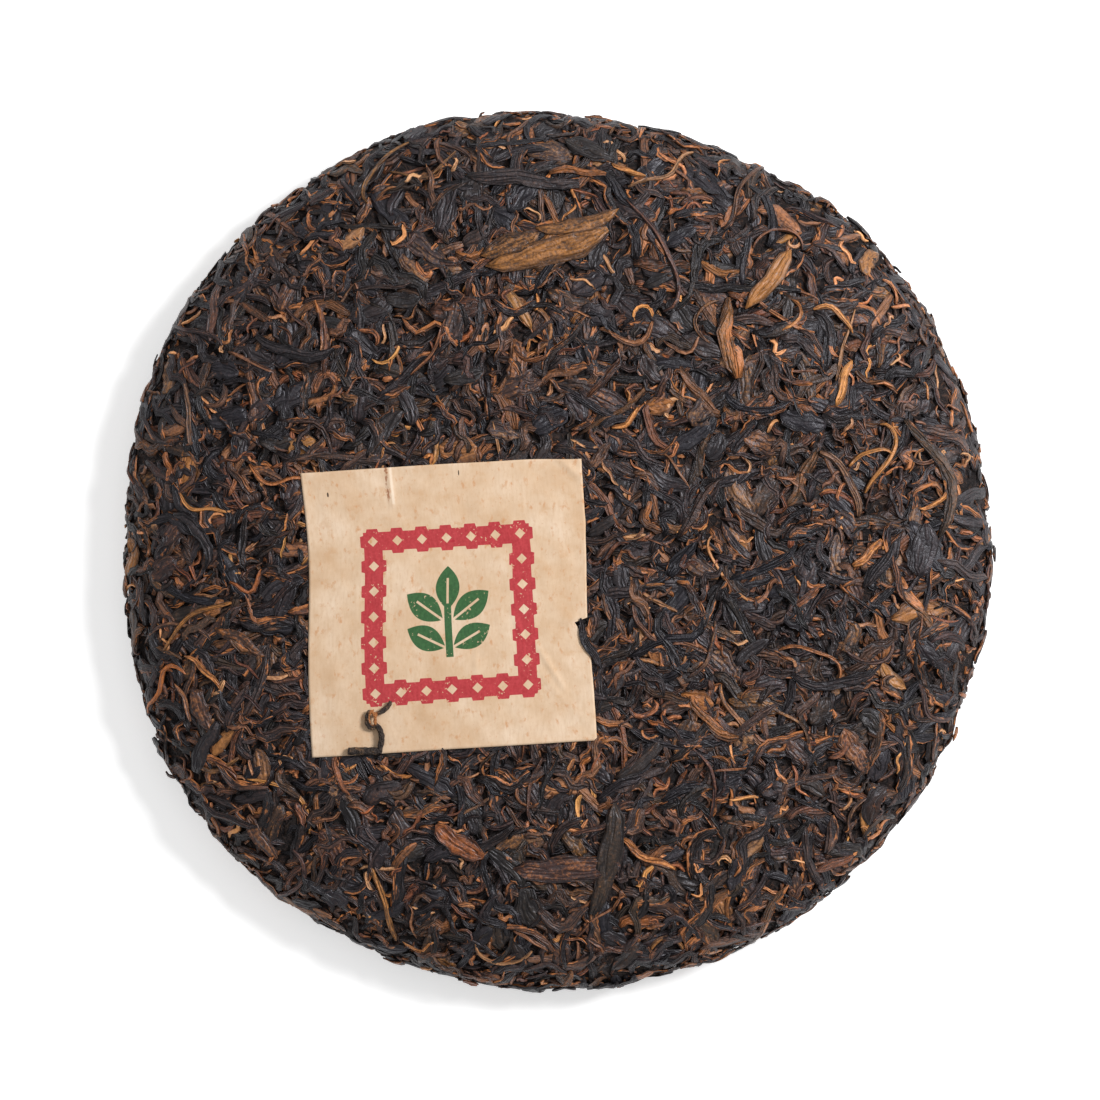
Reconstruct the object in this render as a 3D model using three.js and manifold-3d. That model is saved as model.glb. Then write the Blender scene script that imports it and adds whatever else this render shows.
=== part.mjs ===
// A pressed round cake of dark tea leaves, lying on its flat underside, with its square paper ticket
// pressed into the face and one curled leaf stem lying over the ticket's edge.
// Millimetres, +Z up. The origin is on the underside, below the middle of the outline.
import * as THREE from "three";
import { mergeVertices } from "three/addons/utils/BufferGeometryUtils.js";
import { SimplexNoise } from "three/addons/math/SimplexNoise.js";
import Module from "manifold-3d";

// Driving sizes of the cake
const CAKE_RADIUS = 99; // mean radius of the outline
const THICKNESS = 23; // foot to the middle of the face
const WAIST_HEIGHT = 8.5; // height at which the rim is widest
const SHOULDER_POWER = 5; // a higher power keeps the face flat further out
const FOOT_RADIUS = 89; // where the rim meets the flat underside
const HOLLOW_RADIUS = 25; // mouth of the round hollow that the bag's knot leaves underneath
const HOLLOW_DEPTH = 9;

// The hand-pressed outline is not quite a circle: waves round its edge, height in mm and phase in degrees
const OUTLINE_WAVES = [
  { turns: 2, height: 0.35, phase: 157 },
  { turns: 3, height: 0.54, phase: -12 },
  { turns: 4, height: 0.77, phase: -158 },
  { turns: 6, height: 0.33, phase: 141 },
  { turns: 7, height: 0.3, phase: 13 },
];

// Relief of the packed leaves on the core, which is kept a little smaller than the leaves that show
const CORE_DETAIL = 12; // how often the core's triangles are divided
const CORE_INSET = 0.6;
const LUMP_SPACING = 11;
const LUMP_HEIGHT = 0.45;
const SWELL_SPACING = 46;
const SWELL_HEIGHT = 0.35;
const UNDER_RELIEF = 0.6; // share of the relief that the hollow keeps
const FOOT_FADE = 3; // height over which the relief fades out to the flat foot
const TICKET_FADE = 6; // width over which it fades out to the ticket

// The paper ticket
const TICKET_SIDE = 63;
const TICKET_THICKNESS = 0.3;
const TICKET_TURN = 3.1; // degrees
const TICKET_MIDDLE = { x: -24.4, y: -12.6 };
const TICKET_LIFT = -0.2; // its underside, from the cake's outer skin
const TICKET_STEPS = 12;
const TICKET_WAVE = 0.12;
const TICKET_WAVE_SPACING = 17;
const NICK = { height: -8, depth: 1.8, reach: 3.4 }; // the torn place in the right edge
const CLEAR_MARGIN = 1.6; // bare strip kept round the ticket

// Leaves that show, at true size: width and thick are half sizes
const LEAF_SIDES = 5;
const LEAF_STEPS = 5;
const TIP_SHARE = 0.3; // how wide a leaf's tip is, as a share of its middle
const BOLD_LEAVES = [
  { x: 1, y: 68, heading: 14, length: 27, width: 3.6, bow: 1 },
  { x: -1, y: 63, heading: 19, length: 20, width: 1.9, bow: -1 },
  { x: 49, y: 61, heading: 52, length: 14, width: 2.1, bow: 0.6 },
  { x: 22, y: 71, heading: -52, length: 31, width: 0.9, bow: 3 },
  { x: 38, y: 47, heading: -84, length: 19, width: 1.9, bow: -1.6 },
  { x: 66, y: 29, heading: -62, length: 25, width: 1.3, bow: 4 },
  { x: 63, y: 12, heading: 58, length: 17, width: 2.2, bow: 1 },
  { x: 2, y: -71, heading: 2, length: 24, width: 2.9, bow: -0.8 },
  { x: 10, y: -67, heading: 82, length: 27, width: 2.2, bow: -1.2 },
  { x: -22, y: -65, heading: -35, length: 12, width: 2.7, bow: 0.5 },
  { x: 34, y: -38, heading: -45, length: 15, width: 1.5, bow: 1.4 },
  { x: 62, y: -29, heading: 5, length: 22, width: 1.5, bow: 1.8 },
  { x: -58, y: 44, heading: -12, length: 19, width: 1.7, bow: 1.5 },
  { x: -31, y: 61, heading: 44, length: 14, width: 2.4, bow: 0.8 },
  { x: -82, y: 3, heading: -56, length: 17, width: 1.9, bow: -2.4 },
];
const SPREAD_LEAVES = 112; // smaller ones, spread over the face, shoulder and rim
const SPREAD_REACH = 112; // arc length from the middle of the face to the last of them
const SPREAD_LENGTH = [12, 21];
const SPREAD_WIDTH = [0.9, 1.7];
const SPREAD_BOW = [-2.5, 2.5];
const SPREAD_SHAKE = { arc: [-3, 3], azimuth: [-0.08, 0.08], turn: [-90, 90] };
const LEAF_THICK = 0.8;
const LEAF_LIFT = -0.1; // a leaf's middle, from the outer skin
const GOLDEN_TURN = Math.PI * (3 - Math.sqrt(5));
const RIM_FOLLOWING = { from: 78, to: 90, share: 0.75 }; // arc lengths over which leaves turn along the rim
const SEED = 357;
const SHORTEST_EDGE = 0.04; // slivers below this size are closed up after the joining

// The curled stem that lies over the ticket's lower edge, from the cake's middle
const STEM_LIFT = 1.35; // its middle, from the outer skin, clear of the paper
const STEM_ROOM = 6; // bare radius kept round it
const STEM_BAR = { from: [-46.4, -44.7], to: [-39.9, -44.5], width: 0.85, thick: 0.6 };
const STEM_RISER = { from: [-40.3, -45], to: [-40.1, -38.9], width: 0.62, thick: 0.55, bow: 0.6 };
const STEM_TIP = { from: [-40.9, -36.6], to: [-37.3, -33.4], width: 0.6, thick: 0.5, bow: 0.5 };
const STEM_CURL = { x: -41.1, y: -37.7, across: 1.0, along: 1.75, tube: 0.5, turn: 14 };

const COLOURS = { leaf: 0x3b302c, paper: 0xe4c5a6, stem: 0x40332c };

const wasm = await Module();
wasm.setup();

// A seeded random number from 0 to 1, the same every time.
function seededRandom(seed) {
  let state = seed;
  return () => {
    state = (state + 0x6d2b79f5) | 0;
    let mixed = Math.imul(state ^ (state >>> 15), 1 | state);
    mixed = (mixed + Math.imul(mixed ^ (mixed >>> 7), 61 | mixed)) ^ mixed;
    return ((mixed ^ (mixed >>> 14)) >>> 0) / 4294967296;
  };
}

const random = seededRandom(SEED);
const noise = new SimplexNoise({ random });
const between = ([low, high]) => low + (high - low) * random();

// The cake's half section from the middle of the face, over the rim, to the middle of the hollow.
function halfSection() {
  const points = [];
  const steps = 40;
  for (let i = 0; i <= steps; i++) {
    const r = CAKE_RADIUS * Math.sin(((i / steps) * Math.PI) / 2);
    const fall = Math.sqrt(Math.max(0, 1 - (r / CAKE_RADIUS) ** SHOULDER_POWER));
    points.push(new THREE.Vector2(r, WAIST_HEIGHT + (THICKNESS - WAIST_HEIGHT) * fall));
  }
  const rimSteps = 12;
  for (let i = 1; i <= rimSteps; i++) {
    const a = ((i / rimSteps) * Math.PI) / 2;
    const r = FOOT_RADIUS + (CAKE_RADIUS - FOOT_RADIUS) * Math.cos(a);
    points.push(new THREE.Vector2(r, WAIST_HEIGHT * (1 - Math.sin(a))));
  }
  for (let i = 0; i <= rimSteps; i++) {
    const r = HOLLOW_RADIUS * (1 - i / rimSteps);
    const z = HOLLOW_DEPTH * (0.5 + 0.5 * Math.cos((Math.PI * r) / HOLLOW_RADIUS));
    points.push(new THREE.Vector2(r, z));
  }
  return new THREE.Path(points);
}

const section = halfSection();
const sectionLength = section.getLength();

function outlineRadius(azimuth) {
  return OUTLINE_WAVES.reduce(
    (sum, w) => sum + w.height * Math.cos(w.turns * azimuth + THREE.MathUtils.degToRad(w.phase)),
    CAKE_RADIUS,
  );
}

// The middle of the outline's own box, so that the origin can stand there.
function outlineMiddle() {
  const box = new THREE.Box2();
  for (let degree = 0; degree < 360; degree++) {
    const a = THREE.MathUtils.degToRad(degree);
    const r = outlineRadius(a);
    box.expandByPoint(new THREE.Vector2(r * Math.cos(a), r * Math.sin(a)));
  }
  return box.getCenter(new THREE.Vector2());
}

const middle = outlineMiddle();

// A point on the outer skin, raised by lift along the skin's normal. arc is measured along the
// half section from the middle of the face.
function skinPoint(azimuth, arc, lift) {
  const u = THREE.MathUtils.clamp(arc / sectionLength, 0, 1);
  const step = 0.002;
  const p = section.getPoint(u);
  const before = section.getPoint(Math.max(0, u - step));
  const after = section.getPoint(Math.min(1, u + step));
  const along = after.sub(before).normalize();
  const stretch = outlineRadius(azimuth) / CAKE_RADIUS;
  const r = (p.x - along.y * lift) * stretch;
  return new THREE.Vector3(
    r * Math.cos(azimuth) - middle.x,
    r * Math.sin(azimuth) - middle.y,
    p.y + along.x * lift,
  );
}

// The same, from flat coordinates on the face measured from the origin.
function facePoint(x, y, lift) {
  const a = x + middle.x;
  const b = y + middle.y;
  return skinPoint(Math.atan2(b, a), Math.hypot(a, b), lift);
}

// Coordinates in the ticket's own square, with its middle at 0, 0.
function onTicket(x, y) {
  const turn = THREE.MathUtils.degToRad(TICKET_TURN);
  const dx = x - TICKET_MIDDLE.x;
  const dy = y - TICKET_MIDDLE.y;
  return {
    u: dx * Math.cos(turn) + dy * Math.sin(turn),
    v: dy * Math.cos(turn) - dx * Math.sin(turn),
  };
}

function offTicket(u, v) {
  const turn = THREE.MathUtils.degToRad(TICKET_TURN);
  return {
    x: TICKET_MIDDLE.x + u * Math.cos(turn) - v * Math.sin(turn),
    y: TICKET_MIDDLE.y + u * Math.sin(turn) + v * Math.cos(turn),
  };
}

// How far a place on the face lies outside the ticket, in mm; negative inside it.
function ticketDistance(x, y) {
  const { u, v } = onTicket(x, y);
  return Math.max(Math.abs(u), Math.abs(v)) - TICKET_SIDE / 2;
}

// A geometry with positions only and shared vertices.
function bare(geometry) {
  geometry.deleteAttribute("normal");
  geometry.deleteAttribute("uv");
  return mergeVertices(geometry, 1e-5);
}

function solid(geometry) {
  return new wasm.Manifold(
    new wasm.Mesh({
      numProp: 3,
      vertProperties: geometry.getAttribute("position").array,
      triVerts: new Uint32Array(geometry.index.array),
    }),
  );
}

function namedMesh(name, made, colour) {
  const { vertProperties, triVerts } = made.getMesh();
  const geometry = new THREE.BufferGeometry()
    .setAttribute("position", new THREE.BufferAttribute(vertProperties, 3))
    .setIndex(new THREE.BufferAttribute(triVerts, 1));
  const material = new THREE.MeshStandardMaterial({ color: colour, roughness: 0.8, metalness: 0 });
  const mesh = new THREE.Mesh(geometry, material);
  mesh.name = name;
  return mesh;
}

// The pressed core: a sphere's even triangles laid over the skin, with lumps of the leaves' size.
function coreSolid() {
  const geometry = bare(new THREE.IcosahedronGeometry(1, CORE_DETAIL));
  const position = geometry.getAttribute("position");
  const footStart = sectionLength * footShare();
  for (let i = 0; i < position.count; i++) {
    const p = new THREE.Vector3().fromBufferAttribute(position, i);
    const azimuth = Math.atan2(p.y, p.x);
    const arc = (Math.acos(THREE.MathUtils.clamp(p.z, -1, 1)) / Math.PI) * sectionLength;
    const skin = skinPoint(azimuth, arc, 0);
    const clear = THREE.MathUtils.smoothstep(ticketDistance(skin.x, skin.y), 0, TICKET_FADE);
    const above = THREE.MathUtils.smoothstep(skin.z, 0, FOOT_FADE);
    const lumps = LUMP_HEIGHT * noise.noise3d(...skin.clone().divideScalar(LUMP_SPACING).toArray());
    const swell = SWELL_HEIGHT * noise.noise3d(...skin.clone().divideScalar(SWELL_SPACING).toArray());
    const relief = (lumps + swell) * above * (arc < footStart ? clear : UNDER_RELIEF);
    const made = skinPoint(azimuth, arc, (relief - CORE_INSET) * above);
    position.setXYZ(i, made.x, made.y, Math.max(0, made.z));
  }
  return solid(geometry);
}

// The share of the half section that comes before the flat underside.
function footShare() {
  let share = 0;
  while (section.getPoint(share).y > 1e-3) share += 0.002;
  return share;
}

// One leaf: a cylinder bent along its path over the skin, flattened, and tapered to its tips.
// place(along, across) gives a point of the path from -1/2 to 1/2 of its length.
function bentLeaf({ place, width, thick, lift }) {
  const geometry = bare(new THREE.CylinderGeometry(1, 1, 1, LEAF_SIDES, LEAF_STEPS));
  const position = geometry.getAttribute("position");
  const step = 0.02;
  for (let i = 0; i < position.count; i++) {
    const t = position.getY(i);
    const taper = TIP_SHARE + (1 - TIP_SHARE) * Math.sqrt(Math.max(0, 1 - (2 * t) ** 2));
    const centre = place(t, lift);
    const tangent = place(t + step, lift).sub(place(t - step, lift)).normalize();
    const up = place(t, lift + 1).sub(centre).normalize();
    const side = new THREE.Vector3().crossVectors(tangent, up).normalize();
    centre.addScaledVector(side, position.getX(i) * width * taper);
    centre.addScaledVector(up, position.getZ(i) * thick * taper);
    position.setXYZ(i, centre.x, centre.y, centre.z);
  }
  return solid(geometry);
}

// The path of a leaf whose middle is at x, y on the face: straight along its heading, bowed sideways.
function bowedPath({ x, y, heading, length, bow }) {
  const turn = THREE.MathUtils.degToRad(heading);
  return (t, lift) => {
    const along = t * length;
    const across = bow * (1 - (2 * t) ** 2);
    return facePoint(
      x + along * Math.cos(turn) - across * Math.sin(turn),
      y + along * Math.sin(turn) + across * Math.cos(turn),
      lift,
    );
  };
}

// True where a leaf would reach the ticket, or the stem that lies over its edge.
function meetsTicket({ x, y, heading, length, width }) {
  const turn = THREE.MathUtils.degToRad(heading);
  const reach = [-0.5, -0.25, 0, 0.25, 0.5];
  const tooNear = reach.some((t) => {
    const px = x + t * length * Math.cos(turn);
    const py = y + t * length * Math.sin(turn);
    return ticketDistance(px, py) < width + CLEAR_MARGIN;
  });
  const toStem = Math.hypot(x - STEM_RISER.from[0], y - STEM_RISER.from[1]);
  return tooNear || toStem < length / 2 + STEM_ROOM;
}

// The smaller leaves, spread evenly by the golden turn and then shaken.
function spreadLeaves() {
  const leaves = [];
  for (let i = 0; i < SPREAD_LEAVES; i++) {
    const arc = SPREAD_REACH * Math.sqrt((i + 0.5) / SPREAD_LEAVES) + between(SPREAD_SHAKE.arc);
    const azimuth = i * GOLDEN_TURN + between(SPREAD_SHAKE.azimuth);
    const follow = THREE.MathUtils.smoothstep(arc, RIM_FOLLOWING.from, RIM_FOLLOWING.to);
    const loose = between(SPREAD_SHAKE.turn) * (1 - RIM_FOLLOWING.share * follow);
    leaves.push({
      x: arc * Math.cos(azimuth) - middle.x,
      y: arc * Math.sin(azimuth) - middle.y,
      heading: THREE.MathUtils.radToDeg(azimuth) + 90 + loose,
      length: between(SPREAD_LENGTH),
      width: between(SPREAD_WIDTH),
      bow: between(SPREAD_BOW),
    });
  }
  return leaves;
}

function cakeSolid() {
  const leaves = [...BOLD_LEAVES, ...spreadLeaves()].filter((leaf) => !meetsTicket(leaf));
  let cake = coreSolid();
  for (const leaf of leaves) {
    const shape = { place: bowedPath(leaf), width: leaf.width, thick: LEAF_THICK, lift: LEAF_LIFT };
    cake = cake.add(bentLeaf(shape));
  }
  const depth = 20;
  const ground = new THREE.BoxGeometry(3 * CAKE_RADIUS, 3 * CAKE_RADIUS, depth);
  ground.translate(0, 0, -depth / 2);
  return largestBody(cake.subtract(solid(bare(ground))).simplify(SHORTEST_EDGE));
}

// Keeps the one outer body: loose scraps are dropped and hollows that the joining sealed are filled.
function largestBody(made) {
  return made.decompose().reduce((kept, body) => (body.volume() > kept.volume() ? body : kept));
}

// The ticket: a square sheet that follows the face, with both faces divided alike.
function ticketSolid() {
  const n = TICKET_STEPS;
  const positions = [];
  const place = (i, j, lift) => {
    let u = (i / n - 0.5) * TICKET_SIDE;
    const v = (j / n - 0.5) * TICKET_SIDE;
    const torn = Math.max(0, 1 - Math.abs(v - NICK.height) / NICK.reach);
    if (i === n) u -= NICK.depth * torn;
    const { x, y } = offTicket(u, v);
    const wave = TICKET_WAVE * noise.noise(x / TICKET_WAVE_SPACING, y / TICKET_WAVE_SPACING);
    return facePoint(x, y, TICKET_LIFT + wave + lift).toArray();
  };
  for (const lift of [0, TICKET_THICKNESS])
    for (let j = 0; j <= n; j++) for (let i = 0; i <= n; i++) positions.push(...place(i, j, lift));
  const row = n + 1;
  const layer = row * row;
  const index = [];
  for (let j = 0; j < n; j++)
    for (let i = 0; i < n; i++) {
      const a = j * row + i;
      const b = a + 1;
      const c = a + row + 1;
      const d = a + row;
      index.push(a, c, b, a, d, c);
      index.push(layer + a, layer + b, layer + c, layer + a, layer + c, layer + d);
    }
  const wall = (a, b) => index.push(a, b, layer + b, a, layer + b, layer + a);
  for (let i = 0; i < n; i++) {
    wall(i, i + 1);
    wall(n * row + i + 1, n * row + i);
    wall(i * row + n, (i + 1) * row + n);
    wall((i + 1) * row, i * row);
  }
  const geometry = new THREE.BufferGeometry();
  geometry.setAttribute("position", new THREE.Float32BufferAttribute(positions, 3));
  geometry.setIndex(index);
  return solid(geometry);
}

// A straight or bowed length of stem between two places on the face.
function stemLength({ from, to, width, thick, bow = 0 }) {
  const x = (from[0] + to[0]) / 2;
  const y = (from[1] + to[1]) / 2;
  const heading = THREE.MathUtils.radToDeg(Math.atan2(to[1] - from[1], to[0] - from[0]));
  const length = Math.hypot(to[0] - from[0], to[1] - from[1]);
  return bentLeaf({ place: bowedPath({ x, y, heading, length, bow }), width, thick, lift: STEM_LIFT });
}

// The small closed curl in the stem.
function stemCurl() {
  const { x, y, across, along, tube, turn } = STEM_CURL;
  const curl = bare(new THREE.TorusGeometry(1, tube, 5, 12));
  const rest = facePoint(x, y, STEM_LIFT);
  curl.scale(across, along, 1);
  curl.rotateZ(THREE.MathUtils.degToRad(turn));
  curl.translate(rest.x, rest.y, rest.z);
  return solid(curl);
}

function stemSolid() {
  const joined = [STEM_RISER, STEM_TIP].reduce(
    (stem, piece) => stem.add(stemLength(piece)),
    stemLength(STEM_BAR).add(stemCurl()),
  );
  return largestBody(joined);
}

const teaCake = new THREE.Group();
teaCake.add(
  namedMesh("pressed_cake", cakeSolid(), COLOURS.leaf),
  namedMesh("paper_ticket", ticketSolid(), COLOURS.paper),
  namedMesh("curled_stem", stemSolid(), COLOURS.stem),
);

export default teaCake;
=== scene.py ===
# A pressed round cake of dark tea leaves, with a paper ticket in its face and a curled stem over it.
# Shapes are worked out in millimetres and made in metres, +Z up. The frame's solids set the place.
import math
from collections import namedtuple
from functools import partialmethod

import bmesh
import bpy
import numpy as np
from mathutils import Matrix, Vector, noise


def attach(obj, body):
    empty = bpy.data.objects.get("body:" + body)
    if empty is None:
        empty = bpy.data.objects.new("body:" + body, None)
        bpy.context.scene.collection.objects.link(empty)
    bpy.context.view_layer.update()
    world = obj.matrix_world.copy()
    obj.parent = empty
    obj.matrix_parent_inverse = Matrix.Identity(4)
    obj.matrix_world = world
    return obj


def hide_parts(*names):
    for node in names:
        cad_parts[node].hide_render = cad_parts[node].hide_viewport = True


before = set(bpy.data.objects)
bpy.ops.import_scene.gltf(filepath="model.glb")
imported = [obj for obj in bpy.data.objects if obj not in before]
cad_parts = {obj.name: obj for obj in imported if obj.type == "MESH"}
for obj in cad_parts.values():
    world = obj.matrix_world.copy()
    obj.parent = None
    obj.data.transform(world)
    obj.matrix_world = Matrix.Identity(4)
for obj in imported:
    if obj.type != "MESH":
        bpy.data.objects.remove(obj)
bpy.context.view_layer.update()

MM = 0.001
SEED = 357

# The cake, with the same driving sizes as its solid
CAKE_RADIUS = 99.0
THICKNESS = 23.0
WAIST_HEIGHT = 8.5
SHOULDER_POWER = 5
FOOT_RADIUS = 89.0
HOLLOW_RADIUS = 25.0
HOLLOW_DEPTH = 9.0
TABLE_EASE = 0.35  # height above the table that the lowest leaves are eased into
OUTLINE_WAVES = ((2, 0.35, 157), (3, 0.54, -12), (4, 0.77, -158), (6, 0.33, 141), (7, 0.3, 13))
FACE_SAMPLES = 121  # samples of the half section, part by part
RIM_SAMPLES = 30
FOOT_SAMPLES = 39
HOLLOW_SAMPLES = 31
FIRST_FOOT = FACE_SAMPLES + RIM_SAMPLES

# The core under the leaves
CORE_INSET = 1.4
CORE_INSET_RIM = 0.8
CORE_RELIEF = 0.35
CORE_LUMP_SPACING = 3.0
CORE_RINGS = 120
CORE_TURNS = 220
CORE_FADE = 8.0  # arc length from the rim's inset to the foot's

# How the leaves are laid down: a height map of the pile, on the flattened skin
CELL = 0.5
MAP_REACH = 126.0
MAP_SIZE = int(2 * MAP_REACH / CELL) + 1
RELIEF_WAVES = ((0.28, 9), (0.22, 26))  # height and wavelength of the hills that the first leaves lie on
FINE = 3  # map samples along each of a leaf's segments
FOOTPRINT = 0.45  # share of its width that a leaf covers on the map, to either side
STIFFNESS = 0.6  # share of the highest ground in what bears a leaf; the mean has the rest
PRESS_DEPTH = 2.2  # how deep the pressed pile is, at the most
LEVEL_SHARE = 72  # per cent of the pile below the outer skin
SINK = 0.72  # share of a leaf's thickness that it adds to the pile
TOP_REACH = 121.0  # arc lengths that the leaves of the face and of the underside cover
UNDER_REACH = 93.0
SCATTER = 2.2
GOLDEN_ANGLE = math.pi * (3 - math.sqrt(5))

# Which way the leaves point: along a common grain on the face, and mostly along the edge at the rim
GRAIN_WAVE = 16  # how wide the grain's swirls are
GRAIN_TURN = 1.1
GRAIN_SPREAD = 0.65
RIM_START = 94.0
RIM_END = 104.0
RIM_ALONG = 0.8  # share of the rim's leaves that lie along it
RIM_SPREAD = 0.45

# How the rim's leaves differ: shorter, narrower and a little loose
RIM_SHORTER = 0.4
RIM_NARROWER = 0.2
RIM_LOOSE = 0.2

# The form of a leaf
LENGTH_SPREAD = (1.3, 2.2)  # beta distribution that lengths are drawn from
WIDTH_SPREAD = (1.6, 1.9)
WAVE_TURNS = 1.5
TAPER_POWER = 3.2
TIP_SHAPES = (0.45, 0.95)  # from full to slender
TIP_THICKNESS = 0.4
RIDGE_CHANGE = 0.6  # share of a leaf's ridges that changes along it
BROAD_WIDTHS = (2.6, 4.4)  # between these, a leaf goes from slender to flat and crumpled
RAGGED = 0.2
CRUMPLE = 0.24
CRUMPLE_ACROSS = 1.7
CRUMPLE_ALONG = 9
EDGE_SQUARE = 0.6  # how far a broad leaf's section goes from round to square
TONE_POWER = 1.15
GIRTH = 2.2  # a leaf's girth, in its widths
CM = 10.0

# The paper ticket
TICKET_SIDE = 63.0
TICKET_TURN = math.radians(3.1)
TICKET_MIDDLE = (-24.4, -12.6)
TICKET_LIFT = -0.08
TICKET_THICKNESS = 0.16
TICKET_CELLS = 126
TICKET_BED = -0.38  # the leaves under the ticket are pressed down to this lift
TICKET_SLOPE = 0.75  # and rise from it beside the ticket
NO_BED = 9.0  # higher than any leaf lies
TICKET_BUMPS = ((0.09, 3.4, 2), (0.12, 9, 7))  # height, spacing and layer of the noise
CURL_HEIGHT = 0.16
CURL_REACH = 4.0
CURL_SPACING = 12.0
NICK_TOP = -4.1
NICK_DEEPEST = -4.9
NICK_END = -11.4
NICK_DEPTH = 2.9
NICK_POWER = 1.2
NICK_REACH = 7.0  # how far in the sheet follows its torn edge
EDGE_BOW = 0.7
EDGE_BOW_REACH = 12.0
EDGE_RIPPLE = 0.08
EDGE_RIPPLE_SPACING = 3.1

# Its print: a band between two squares, given by their half sides, and a sprig inside it
PRINT_MIDDLE = (0.1, -1.4)
BAND_INNER = 14.7
BAND_OUTER = 18.9
BAND_STEP = 2.8
BAND_TOOTH = 0.75
DIAMOND = 1.15  # half width
INK_EDGE = 0.06  # how soft the print's edges are
SPRIG_STEM = 0.8  # half width
SPRIG_FOOT = -9.6
SPRIG_TOP = 2.2

# The sprig's bud and leaves: middle, heading in degrees, length and width
SPRIG_LEAVES = (
    ((0, 5.6), 90, 9.6, 5.4),
    ((5.2, 1.6), 36, 10.0, 5.6),
    ((5.0, -5.2), 28, 9.4, 5.4),
)


def half_section():
    """Radius and height along the half section, from the face's middle over the rim to the hollow's."""
    face = np.sin(np.linspace(0, math.pi / 2, FACE_SAMPLES))
    height = THICKNESS - WAIST_HEIGHT
    face_z = WAIST_HEIGHT + height * np.sqrt(np.clip(1 - face**SHOULDER_POWER, 0, 1))
    rim = np.linspace(0, math.pi / 2, RIM_SAMPLES + 1)[1:]
    rim_r = FOOT_RADIUS + (CAKE_RADIUS - FOOT_RADIUS) * np.cos(rim)
    foot_r = np.linspace(FOOT_RADIUS, HOLLOW_RADIUS, FOOT_SAMPLES + 2)[1:-1]
    hollow_r = np.linspace(HOLLOW_RADIUS, 0, HOLLOW_SAMPLES)
    hollow_z = HOLLOW_DEPTH * (0.5 + 0.5 * np.cos(math.pi * hollow_r / HOLLOW_RADIUS))
    r = np.concatenate((CAKE_RADIUS * face, rim_r, foot_r, hollow_r))
    z = np.concatenate((face_z, WAIST_HEIGHT * (1 - np.sin(rim)), 0 * foot_r, hollow_z))
    return r, z


SECTION_R, SECTION_Z = half_section()
SECTION_ARC = np.concatenate(([0], np.cumsum(np.hypot(np.diff(SECTION_R), np.diff(SECTION_Z)))))
ARC_TOTAL = SECTION_ARC[-1]
TANGENT_R = np.gradient(SECTION_R, SECTION_ARC)
TANGENT_Z = np.gradient(SECTION_Z, SECTION_ARC)


def outline_radius(azimuth):
    return CAKE_RADIUS + sum(h * np.cos(n * azimuth + math.radians(p)) for n, h, p in OUTLINE_WAVES)


def outline_middle():
    """The middle of the outline's own box, which the origin lies under."""
    azimuth = np.radians(np.arange(360))
    x = outline_radius(azimuth) * np.cos(azimuth)
    y = outline_radius(azimuth) * np.sin(azimuth)
    return (x.min() + x.max()) / 2, (y.min() + y.max()) / 2


MIDDLE_X, MIDDLE_Y = outline_middle()


def skin_points(chart_x, chart_y, lift, under=False):
    """Points of the outer skin, raised by lift along its normal. The chart is the skin laid flat round
    the middle of the face, or round the middle of the underside, seen from below."""
    reach = np.hypot(chart_x, chart_y)
    azimuth = np.arctan2(chart_y, chart_x) * np.where(under, -1, 1)
    arc = np.clip(np.where(under, ARC_TOTAL - reach, reach), 0, ARC_TOTAL)
    normal_r = -np.interp(arc, SECTION_ARC, TANGENT_Z)
    normal_z = np.interp(arc, SECTION_ARC, TANGENT_R)
    stretch = outline_radius(azimuth) / CAKE_RADIUS
    r = (np.interp(arc, SECTION_ARC, SECTION_R) + normal_r * lift) * stretch
    z = np.interp(arc, SECTION_ARC, SECTION_Z) + normal_z * lift
    x = r * np.cos(azimuth) - MIDDLE_X
    y = r * np.sin(azimuth) - MIDDLE_Y
    return np.stack((x, y, above_table(z)), axis=-1)


def above_table(z):
    """Heights eased so that the lowest leaves lie flat on the table, one still over the other."""
    eased = TABLE_EASE * np.exp((np.minimum(z, TABLE_EASE) - TABLE_EASE) / TABLE_EASE)
    return np.where(z < TABLE_EASE, eased, z)


def ticket_place(x, y):
    """Coordinates on the ticket's own square, from its middle, of a place on the face."""
    dx = x - TICKET_MIDDLE[0]
    dy = y - TICKET_MIDDLE[1]
    along = dx * math.cos(TICKET_TURN) + dy * math.sin(TICKET_TURN)
    up = dy * math.cos(TICKET_TURN) - dx * math.sin(TICKET_TURN)
    return along, up


def pressed_by_ticket(chart_x, chart_y, lift, under, room):
    """Keeps the leaves under the ticket below it, and lets them rise beside it."""
    along, up = ticket_place(chart_x - MIDDLE_X, chart_y - MIDDLE_Y)
    outside = np.maximum(np.maximum(np.abs(along), np.abs(up)) - TICKET_SIDE / 2, 0)
    bed = np.where(under, NO_BED, TICKET_BED + room + TICKET_SLOPE * outside)
    return np.minimum(lift, bed)


def smooth_field(random, wavelength):
    """A random field over the map, with hills of about that size and heights of about 1."""
    across = np.fft.fftfreq(MAP_SIZE, CELL)[:, None]
    along = np.fft.rfftfreq(MAP_SIZE, CELL)
    spectrum = np.fft.rfft2(random.normal(size=(MAP_SIZE, MAP_SIZE)))
    smooth = np.exp(-((across**2 + along**2) * wavelength**2))
    field = np.fft.irfft2(spectrum * smooth, s=(MAP_SIZE, MAP_SIZE))
    return field / field.std()


def map_cell(chart_x, chart_y):
    """The map's flat index of a place on the chart."""
    column = np.clip(((chart_x + MAP_REACH) / CELL).astype(int), 0, MAP_SIZE - 1)
    row = np.clip(((chart_y + MAP_REACH) / CELL).astype(int), 0, MAP_SIZE - 1)
    return row * MAP_SIZE + column


def smoothstep(value, low, high):
    share = np.clip((value - low) / (high - low), 0, 1)
    return share * share * (3 - 2 * share)


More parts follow.
